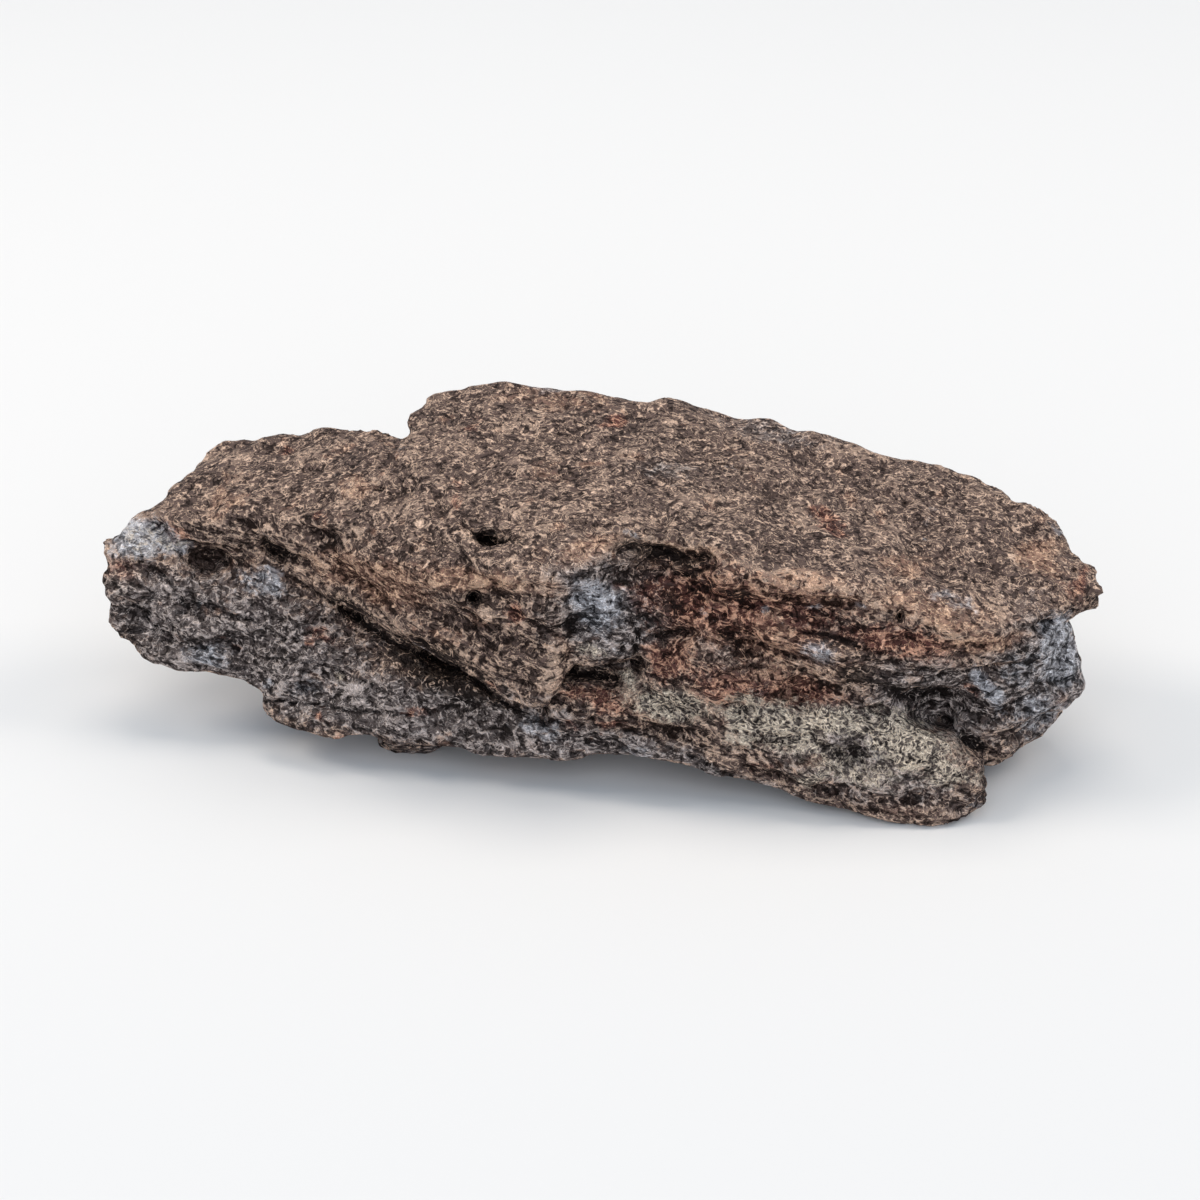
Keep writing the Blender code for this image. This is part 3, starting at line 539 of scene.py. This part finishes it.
def fine_copy(source):
    """A copy of a mesh object in one even skin of small faces."""
    copied = placed_object("stone_surface", source.data.copy())
    modifier = copied.modifiers.new("fine_skin", "REMESH")
    modifier.mode = "VOXEL"
    modifier.voxel_size = SKIN_SIZE * METRES
    graph = bpy.context.evaluated_depsgraph_get()
    skin = bpy.data.meshes.new_from_object(copied.evaluated_get(graph))
    copied.modifiers.clear()
    copied.data = skin
    return copied


def read_points(mesh):
    points = np.empty(len(mesh.vertices) * 3)
    mesh.vertices.foreach_get("co", points)
    return points.reshape(-1, 3) / METRES


def read_normals(mesh):
    normals = np.empty(len(mesh.vertices) * 3)
    mesh.vertices.foreach_get("normal", normals)
    return normals.reshape(-1, 3)


def write_points(mesh, points):
    mesh.vertices.foreach_set("co", (points * METRES).ravel())
    mesh.update()


def neighbour_mean(values, edges, counts):
    """The mean of each point's neighbours."""
    total = np.empty_like(values)
    for axis in range(values.shape[1]):
        total[:, axis] = np.bincount(edges[:, 0], values[edges[:, 1], axis], len(values))
        total[:, axis] += np.bincount(edges[:, 1], values[edges[:, 0], axis], len(values))
    return total / counts[:, None]


def read_edges(mesh):
    edges = np.empty(len(mesh.edges) * 2, dtype=np.int64)
    mesh.edges.foreach_get("vertices", edges)
    edges = edges.reshape(-1, 2)
    return edges, np.bincount(edges.ravel(), minlength=len(mesh.vertices))


def smoothed(points, edges, counts, rounds):
    """Softens the edges between the flat faces without shrinking the stone."""
    for _ in range(rounds):
        for share in (SMOOTH_IN, SMOOTH_OUT):
            points = points + share * (neighbour_mean(points, edges, counts) - points)
    return points


def ledge_height(point):
    """How far the thin layer at this place stands proud of the next."""
    waver = LEDGE_WAVER * noise.noise(point * LEDGE_WAVER_RATE)
    height = (point.dot(Vector(ACROSS_LAYERS)) + waver) / LEDGE_THICKNESS
    layer = math.floor(height)
    rise = min(1.0, max(0.0, (height - layer - RISE_START) / RISE_SHARE))
    flat = point - height * LEDGE_THICKNESS * Vector(ACROSS_LAYERS)
    lower, upper = (
        noise.noise(flat / LEDGE_PATCH + TO_NEXT_PATTERN * number) for number in (layer, layer + 1)
    )
    return lower + (upper - lower) * rise


def pit_depth(point):
    """How deep the small pits are at this place."""
    distances, centres = noise.voronoi(point / PIT_SPACING)
    chance = noise.cell(centres[0] * PIT_CHANCE_RATE)
    radius = PIT_RADIUS * (PIT_SMALLEST + PIT_VARIETY * chance) / PIT_SPACING
    share = min(1.0, distances[0] / radius)
    return PIT_DEPTH * (1.0 - share * share) if chance > PIT_RARITY else 0.0


def fine_relief(points, normals):
    """How far the fine relief moves each point along its normal."""
    steep = 1.0 - np.abs(normals @ ACROSS_LAYERS)
    heights = np.empty(len(points))
    for number, (place, steepness) in enumerate(zip(points, steep)):
        point = Vector(place)
        rough = TOP_ROUGHNESS + (1.0 - TOP_ROUGHNESS) * steepness
        height = LEDGE_HEIGHT * steepness * (ledge_height(point) - LEDGE_BACK)
        height += LUMP_HEIGHT * rough * noise.noise(point / LUMP_SIZE)
        height += GRAIN_HEIGHT * rough * noise.fractal(
            point / GRAIN_SIZE, GRAIN_FALL, GRAIN_STEP, GRAIN_OCTAVES
        )
        heights[number] = min(height, PROUDEST) - rough * pit_depth(point)
    return heights


def drawn_relief(places, facing):
    """How deep the drawn gaps and pits are pressed in along the line of sight."""
    depths = np.zeros(len(places))
    for line, half_width, depth in GAPS.values():
        away = line_distance(places, line) / half_width
        depths = np.maximum(depths, depth * np.exp(-away**2))
    for x, y, half_width, half_height, depth in PITS.values():
        across = half_width * STEPS_PER_MM
        over = half_height * STEPS_PER_MM
        away = oval_distance(places, x, y, across, over, 0.0)
        depths = np.maximum(depths, depth * np.exp(-away**4))
    return depths * facing


def add_mask(mesh, name, values):
    mask = mesh.attributes.new(name, "FLOAT", "POINT")
    mask.data.foreach_set("value", values.astype(np.float32))


def weather(placed):
    """Gives the fine skin its relief, and the masks for its colours."""
    mesh = placed.data
    edges, counts = read_edges(mesh)
    points = smoothed(read_points(mesh), edges, counts, SMOOTH_ROUNDS)
    write_points(mesh, points)
    normals = read_normals(mesh)
    facing = np.clip(normals @ TO_EYE * FACING_GAIN, 0.0, 1.0)
    drawn = to_drawing(points)
    moves = wander(points)
    lines = drawn + LINE_WANDER * moves
    add_mask(mesh, "flat", np.abs(normals @ ACROSS_LAYERS))
    add_mask(mesh, "away", 1.0 - facing)
    # The listed edges get a painted highlight.
    add_mask(mesh, "edge_highlight", edge_highlight_mask(lines) * facing)
    for name, patches in PATCHES.items():
        add_mask(mesh, name, patch_mask(drawn + moves, patches) * facing)

    points = points + normals * fine_relief(points, normals)[:, None]
    points = points - TO_EYE * drawn_relief(lines, facing)[:, None]
    points[:, 2] = np.maximum(points[:, 2], 0.0)
    write_points(mesh, points)

    # A point that lies behind the mean of its surroundings is in a dip, and one that lies before it
    # is on a ridge. The material darkens the dips as painted shade.
    normals = read_normals(mesh)
    near = points
    for _ in range(NEAR_ROUNDS):
        near = neighbour_mean(near, edges, counts)
    wide = near
    for _ in range(WIDE_ROUNDS):
        wide = neighbour_mean(wide, edges, counts)
    add_mask(mesh, "fine_depth", np.sum((near - points) * normals, axis=1))
    add_mask(mesh, "wide_depth", np.sum((wide - points) * normals, axis=1))
    placed.data.shade_smooth()


def add_node(tree, kind, **settings):
    made = tree.nodes.new(kind)
    for name, value in settings.items():
        setattr(made, name, value)
    return made


def feed(tree, socket, value):
    """Links a socket to another node's output, or sets it to a plain value."""
    if isinstance(value, bpy.types.NodeSocket):
        tree.links.new(value, socket)
    else:
        socket.default_value = value


def mixed(tree, share, one, other):
    """The first colour, and the second where the share is 1."""
    made = add_node(tree, "ShaderNodeMix", data_type="RGBA")
    # The colours have their own sockets, the seventh and eighth in and the third out.
    feed(tree, made.inputs[0], share)
    feed(tree, made.inputs[6], one)
    feed(tree, made.inputs[7], other)
    return made.outputs[2]


def computed(tree, operation, one, other=0.0):
    made = add_node(tree, "ShaderNodeMath", operation=operation)
    feed(tree, made.inputs[0], one)
    feed(tree, made.inputs[1], other)
    return made.outputs[0]


def weighted(tree, *terms):
    """The sum of values, each times its weight."""
    total = 0.0
    for value, weight in terms:
        total = computed(tree, "ADD", total, computed(tree, "MULTIPLY", value, weight))
    return total


def blended(tree, parts, weights):
    """The sum of named parts, each times its weight."""
    return weighted(tree, *((parts[name], weight) for name, weight in weights.items()))


def stepped(tree, value, low, high):
    """0 where the value is below low, 1 where it is above high, and smooth between them."""
    made = add_node(tree, "ShaderNodeMapRange", interpolation_type="SMOOTHSTEP")
    feed(tree, made.inputs["Value"], value)
    feed(tree, made.inputs["From Min"], low)
    feed(tree, made.inputs["From Max"], high)
    return made.outputs["Result"]


def mask_value(tree, name):
    return add_node(tree, "ShaderNodeAttribute", attribute_name=name).outputs["Fac"]


def layered_place(tree, along, across):
    """Places on the stone, in units of one size along its layers and another across them."""
    here = add_node(tree, "ShaderNodeTexCoord").outputs["Object"]
    made = add_node(tree, "ShaderNodeMapping", vector_type="TEXTURE")
    feed(tree, made.inputs["Vector"], here)
    made.inputs["Rotation"].default_value = LAYER_DIP
    made.inputs["Scale"].default_value = (along * METRES, along * METRES, across * METRES)
    return made.outputs["Vector"]


def grain(tree, along, across, detail, roughness, distortion, start):
    """Soft noise whose grains have this size along the layers and across them."""
    made = add_node(tree, "ShaderNodeTexNoise", noise_dimensions="4D")
    feed(tree, made.inputs["Vector"], layered_place(tree, along, across))
    made.inputs["W"].default_value = start
    made.inputs["Scale"].default_value = 1.0
    made.inputs["Detail"].default_value = detail
    made.inputs["Roughness"].default_value = roughness
    made.inputs["Distortion"].default_value = distortion
    return made.outputs["Fac"]


def strokes(tree, along, across, thin, distortion, start):
    """Thin curling strokes: the places where a soft noise passes through its middle value."""
    value = grain(tree, along, across, STROKE_DETAIL, STROKE_ROUGHNESS, distortion, start)
    away = computed(tree, "ABSOLUTE", computed(tree, "SUBTRACT", value, NOISE_MIDDLE))
    return stepped(tree, away, thin, 0.0)


def mineral(tree, tone, colours):
    """A mineral's colour: that of its gaps, its grain or its raised strokes, as the tone says."""
    ramp = add_node(tree, "ShaderNodeValToRGB")
    stops = ramp.color_ramp.elements
    stops.new(TONE_STOPS[1])
    for stop, place, colour in zip(stops, TONE_STOPS, colours):
        stop.position = place
        stop.color = (*colour, 1.0)
    feed(tree, ramp.inputs["Fac"], tone)
    return ramp.outputs["Color"]


def ragged(tree, name, mask, edge):
    """A soft mask of this name, broken up into grains towards its edge."""
    low, high = (limit + RAGGEDNESS * NOISE_MIDDLE for limit in EDGES[name])
    return stepped(tree, weighted(tree, (mask, 1.0), (edge, RAGGEDNESS)), low, high)


def surface_parts(tree):
    """What the tone and the bumps are made of, by name."""
    parts = {name: grain(tree, *shape) for name, shape in GRAINS.items()}
    parts.update({name: strokes(tree, *shape) for name, shape in STROKES.items()})
    # The depth masks darken the hollows as painted shade.
    for name, mask in (("broken", "flat"), ("hollow_shade", "fine_depth"), ("wide_hollow_shade", "wide_depth"),
                       ("far_side", "away")):
        parts[name] = mask_value(tree, mask)
    for name, limits in STEPS.items():
        parts[name] = stepped(tree, parts[name], *limits)
    parts["gaps"] = computed(tree, "SUBTRACT", 1.0, parts["segments"])
    # The listed edges get a painted highlight.
    parts["edge_highlight"] = mask_value(tree, "edge_highlight")

    # Segments and gaps cut the strokes short. The streaks lie only where the layers are broken.
    for name, share in (("light_strokes", "segments"), ("dark_strokes", "gaps"),
                        ("light_streaks", "broken"), ("light_streaks", "segments"),
                        ("dark_streaks", "broken")):
        parts[name] = computed(tree, "MULTIPLY", parts[name], parts[share])
    return parts


def mineral_cover(tree, name, parts, edge):
    """Where a mineral lies: in its drawn patches and, for most, in loose ones all over."""
    mask = mask_value(tree, name)
    if name in LOOSE_PATCHES:
        shape, limits, strength = LOOSE_PATCHES[name]
        loose = stepped(tree, grain(tree, *shape), *limits)
        loose = computed(tree, "MULTIPLY", loose, strength)
        if name == "grey":
            loose = computed(tree, "MULTIPLY", loose, parts["far_side"])
        mask = computed(tree, "MAXIMUM", mask, loose)
    return ragged(tree, name, mask, edge)


def surface_tones(tree, parts):
    """The tone of each mineral. The crust has strokes of its own."""
    tone = computed(tree, "SUBTRACT", blended(tree, parts, TONE_WEIGHTS), TONE_LOWERED)
    tones = dict.fromkeys(MINERALS, tone)
    tones["crust"] = weighted(tree, (tone, CRUST_TONE_SHARE),
                              (parts["crust_strokes"], CRUST_STROKE_SHARE))
    return tones


def stone_material():
    """Dark weathered rock: grain under pale strokes, with stains, patina, crust and shade."""
    material = bpy.data.materials.new("weathered_chondrite_fine")
    material.use_nodes = True
    tree = material.node_tree
    shader = tree.nodes["Principled BSDF"]
    parts = surface_parts(tree)
    tones = surface_tones(tree, parts)
    edge = blended(tree, parts, EDGE_MIX)

    (base, base_colours), *others = MINERALS.items()
    colour = mineral(tree, tones[base], base_colours)
    covers = {}
    for name, colours in others:
        covers[name] = mineral_cover(tree, name, parts, edge)
        colour = mixed(tree, covers[name], colour, mineral(tree, tones[name], colours))
    shade = weighted(tree, (mask_value(tree, "shade"), 1.0),
                     (parts["light_strokes"], SHADE_UNDER_STROKES))
    shade = computed(tree, "MULTIPLY", ragged(tree, "shade", shade, edge), GLOOM_SHARE)
    tree.links.new(mixed(tree, shade, colour, GLOOM), shader.inputs["Base Color"])

    shine = weighted(tree, (covers["patina"], PATINA_SHINE), (parts["light_strokes"], STROKE_SHINE))
    tree.links.new(computed(tree, "ADD", shine, ROUGHNESS), shader.inputs["Roughness"])
    shader.inputs["Specular IOR Level"].default_value = GLOSS

    bump = add_node(tree, "ShaderNodeBump")
    bump.inputs["Strength"].default_value = 1.0
    bump.inputs["Distance"].default_value = BUMP_DISTANCE
    tree.links.new(blended(tree, parts, BUMP_WEIGHTS), bump.inputs["Height"])
    tree.links.new(bump.outputs["Normal"], shader.inputs["Normal"])
    return material


def add_floor():
    half = FLOOR_HALF
    corners = [(-half, -half, 0), (half, -half, 0), (half, half, 0), (-half, half, 0)]
    mesh = bpy.data.meshes.new("floor")
    mesh.from_pydata(corners, [], [(0, 1, 2, 3)])
    floor = placed_object("floor", mesh)
    material = bpy.data.materials.new("pale_floor")
    material.use_nodes = True
    shader = material.node_tree.nodes["Principled BSDF"]
    shader.inputs["Base Color"].default_value = FLOOR_COLOUR
    shader.inputs["Roughness"].default_value = FLOOR_ROUGHNESS
    shader.inputs["Specular IOR Level"].default_value = FLOOR_GLOSS
    mesh.materials.append(material)


def aim(placed, position, target):
    placed.location = position
    placed.rotation_mode = "QUATERNION"
    placed.rotation_quaternion = (target - position).to_track_quat("-Z", "Y")


def add_light(name, position, size, power, colour):
    light = bpy.data.lights.new(name, "AREA")
    light.size = size
    light.energy = power
    light.color = colour
    aim(placed_object(name, light), Vector(position), LIT_PLACE)


def add_camera():
    camera = bpy.data.cameras.new("camera")
    camera.lens = LENS
    camera.sensor_width = SENSOR
    camera.clip_start = CLIP_START
    camera.clip_end = CLIP_END
    placed = placed_object("camera", camera)
    target = Vector(MIDDLE) * METRES
    aim(placed, target + Vector(TO_EYE) * SIGHT_DISTANCE * METRES, target)
    bpy.context.scene.camera = placed


def add_surroundings():
    """The plain soft light of the studio: a pale sky, and lights left, right, above and in front."""
    world = bpy.data.worlds.new("studio")
    world.use_nodes = True
    background = world.node_tree.nodes["Background"]
    background.inputs["Color"].default_value = SKY_COLOUR
    background.inputs["Strength"].default_value = SKY_STRENGTH
    bpy.context.scene.world = world
    for name, light in LIGHTS.items():
        add_light(name, *light)
    bpy.context.scene.view_settings.view_transform = "Standard"


def main():
    stone = fine_copy(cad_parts["stone"])
    weather(stone)
    stone.data.materials.clear()
    stone.data.materials.append(stone_material())
    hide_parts("stone")
    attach(stone, "root")

    add_floor()
    add_surroundings()
    add_camera()


main()
